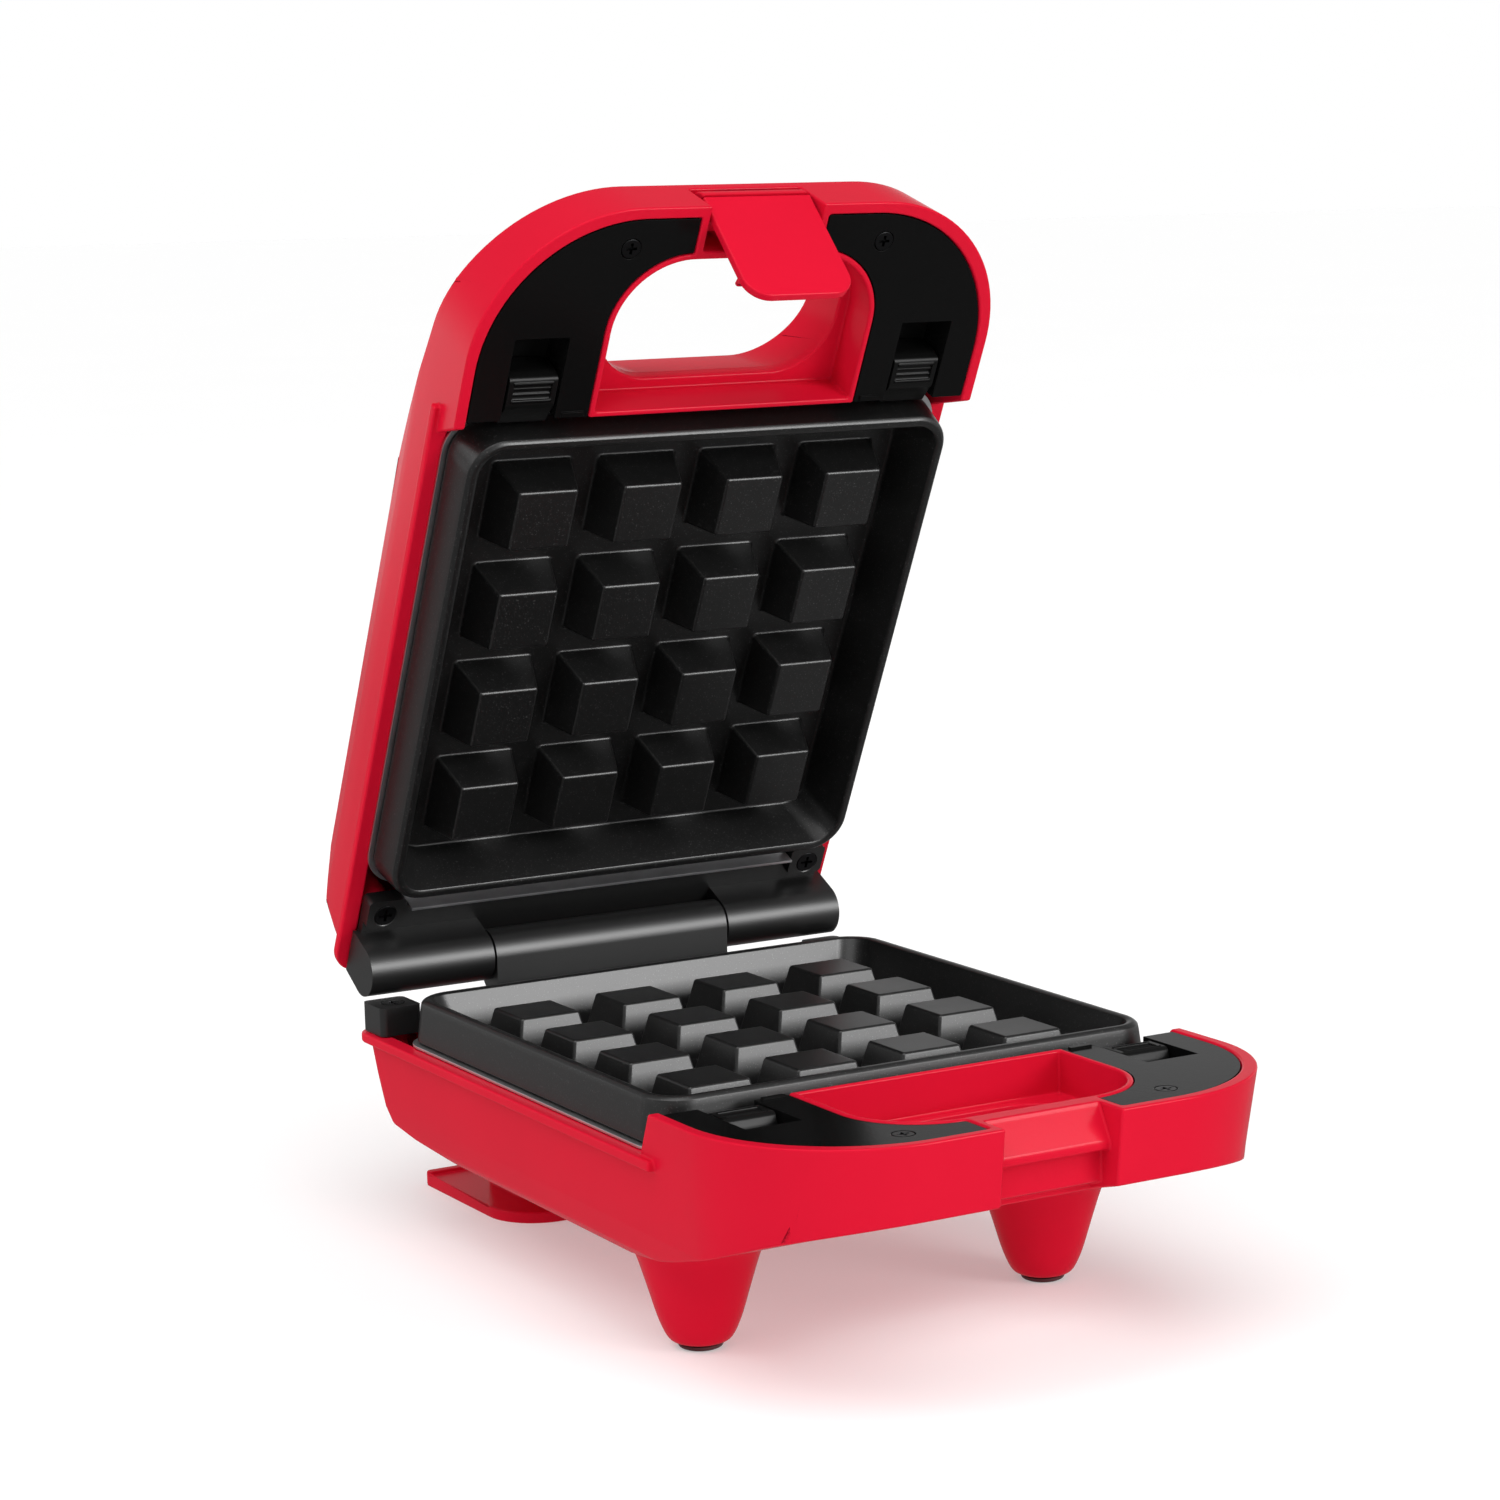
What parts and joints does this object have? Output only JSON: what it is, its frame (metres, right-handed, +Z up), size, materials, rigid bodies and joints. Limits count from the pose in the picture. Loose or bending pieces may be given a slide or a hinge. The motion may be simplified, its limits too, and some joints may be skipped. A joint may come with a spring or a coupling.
{
  "type": "waffle maker",
  "caption": "Small square waffle maker standing open, with a hinged lid, finger-hole handle, pull latch, release clips and a cord-wrap rear foot.",
  "frame": {"origin": "middle of the floor rectangle that the open appliance covers, on the floor", "axes": "+X along the hinge to the right seen from the handle, -Y towards the handle, +Y towards the hinge, +Z up"},
  "size_m": [0.1392, 0.2354, 0.2547],
  "materials": {
    "red_shell": "glossy moulded red plastic",
    "black_panel": "high gloss black plastic",
    "black_clip": "satin black plastic",
    "non_stick_plate": "cast aluminium with a black non-stick coating",
    "black_hinge": "satin black painted steel",
    "screw_steel": "zinc plated steel",
    "tray_steel": "aluminised steel sheet",
    "element_sheath": "dull steel sheath",
    "ceramic": "off-white insulating material",
    "foot_rubber": "soft dark red rubber",
    "amber_lens": "clear amber plastic",
    "green_lens": "clear green plastic"
  },
  "bodies": {
    "base": {"base_housing": "red_shell", "base_panel_left": "black_panel", "base_panel_screw_left": "screw_steel", "base_hinge_screw_left": "screw_steel", "base_panel_right": "black_panel", "base_panel_screw_right": "screw_steel", "base_hinge_screw_right": "screw_steel", "base_waffle_plate": "non_stick_plate", "base_reflector_tray": "tray_steel", "base_heating_element": "element_sheath", "base_hinge_bracket": "black_hinge", "hinge_pin": "screw_steel", "thermostat": "ceramic", "thermal_fuse": "ceramic", "terminal_block": "ceramic", "cord_gland": "black_clip", "front_foot_pad_left": "foot_rubber", "front_foot_pad_right": "foot_rubber"},
    "lid": {"lid_housing": "red_shell", "lid_panel_left": "black_panel", "lid_panel_screw_left": "screw_steel", "lid_hinge_screw_left": "screw_steel", "lid_panel_right": "black_panel", "lid_panel_screw_right": "screw_steel", "lid_hinge_screw_right": "screw_steel", "lid_waffle_plate": "non_stick_plate", "lid_reflector_tray": "tray_steel", "lid_heating_element": "element_sheath", "lid_hinge_bracket": "black_hinge", "power_lamp_lens": "amber_lens", "ready_lamp_lens": "green_lens", "lamp_holder": "black_clip"},
    "latch_pivot": {"latch_pin": "screw_steel", "latch_spring": "screw_steel"},
    "latch": {"latch": "red_shell"},
    "base_clip_left": {"base_clip_left": "black_clip"},
    "base_clip_right": {"base_clip_right": "black_clip"},
    "lid_clip_left": {"lid_clip_left": "black_clip"},
    "lid_clip_right": {"lid_clip_right": "black_clip"}
  },
  "joints": [
    {"name": "lid_hinge", "type": "hinge", "parent": "base", "child": "lid", "pos_m": [0, 0.0896, 0.0649], "axis": [1, 0, 0], "range_deg": [-42, 63.1]},
    {"name": "latch_pull", "type": "hinge", "parent": "lid", "child": "latch_pivot", "pos_m": [0, 0.00389, 0.24843], "axis": [-1, 0, 0], "range_deg": [0, 25], "stiffness_Nm_per_rad": 0.02, "springref_deg": -11.46},
    {"name": "latch_ride", "type": "hinge", "parent": "latch_pivot", "child": "latch", "pos_m": [0, 0.00389, 0.24843], "axis": [-1, 0, 0], "range_deg": [-11.4, 17.1]},
    {"name": "base_clip_left_slide", "type": "slide", "parent": "base", "child": "base_clip_left", "axis": [0, -1, 0], "range_m": [0, 0.006], "stiffness_N_per_m": 400, "springref_m": -0.003},
    {"name": "base_clip_right_slide", "type": "slide", "parent": "base", "child": "base_clip_right", "axis": [0, -1, 0], "range_m": [0, 0.006], "stiffness_N_per_m": 400, "springref_m": -0.003},
    {"name": "lid_clip_left_slide", "type": "slide", "parent": "lid", "child": "lid_clip_left", "axis": [0, -0.4524, 0.8918], "range_m": [0, 0.006], "stiffness_N_per_m": 400, "springref_m": -0.003},
    {"name": "lid_clip_right_slide", "type": "slide", "parent": "lid", "child": "lid_clip_right", "axis": [0, -0.4524, 0.8918], "range_m": [0, 0.006], "stiffness_N_per_m": 400, "springref_m": -0.003}
  ],
  "couplings": [
    {"joint": "latch_ride", "follows": "lid_hinge", "ratio": 0.2694}
  ]
}
